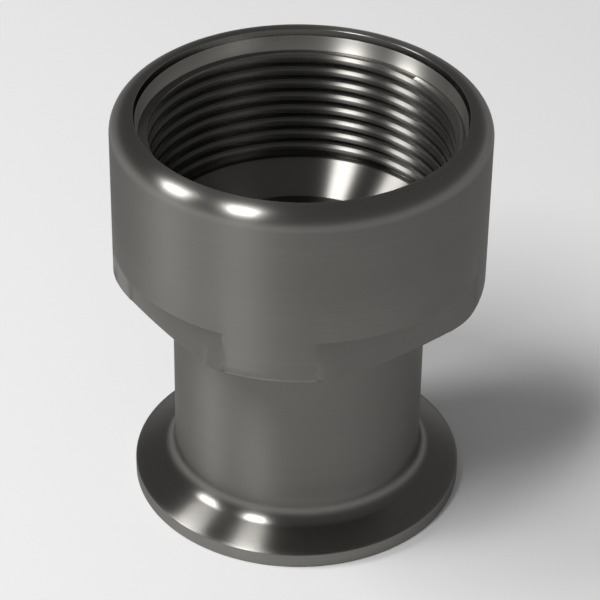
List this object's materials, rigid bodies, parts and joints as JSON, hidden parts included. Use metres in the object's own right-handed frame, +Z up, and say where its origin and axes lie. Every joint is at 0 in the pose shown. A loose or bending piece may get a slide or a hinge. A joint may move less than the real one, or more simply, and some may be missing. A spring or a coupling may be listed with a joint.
{
  "type": "sanitary clamp threaded adapter",
  "caption": "Turned stainless adapter with a flanged clamp ferrule, a short neck, wrench flats and a female tapered pipe thread in its head.",
  "frame": {"origin": "centre of the ferrule's face, on the axis", "axes": "+Z up the axis towards the threaded mouth, X and Y square to the wrench flats"},
  "size_m": [0.0556, 0.0556, 0.0644],
  "materials": {
    "stainless_steel": "satin turned stainless steel, brighter on the rim's round and on the ferrule's back"
  },
  "bodies": {
    "root": {"adapter_body": "stainless_steel"}
  },
  "joints": []
}
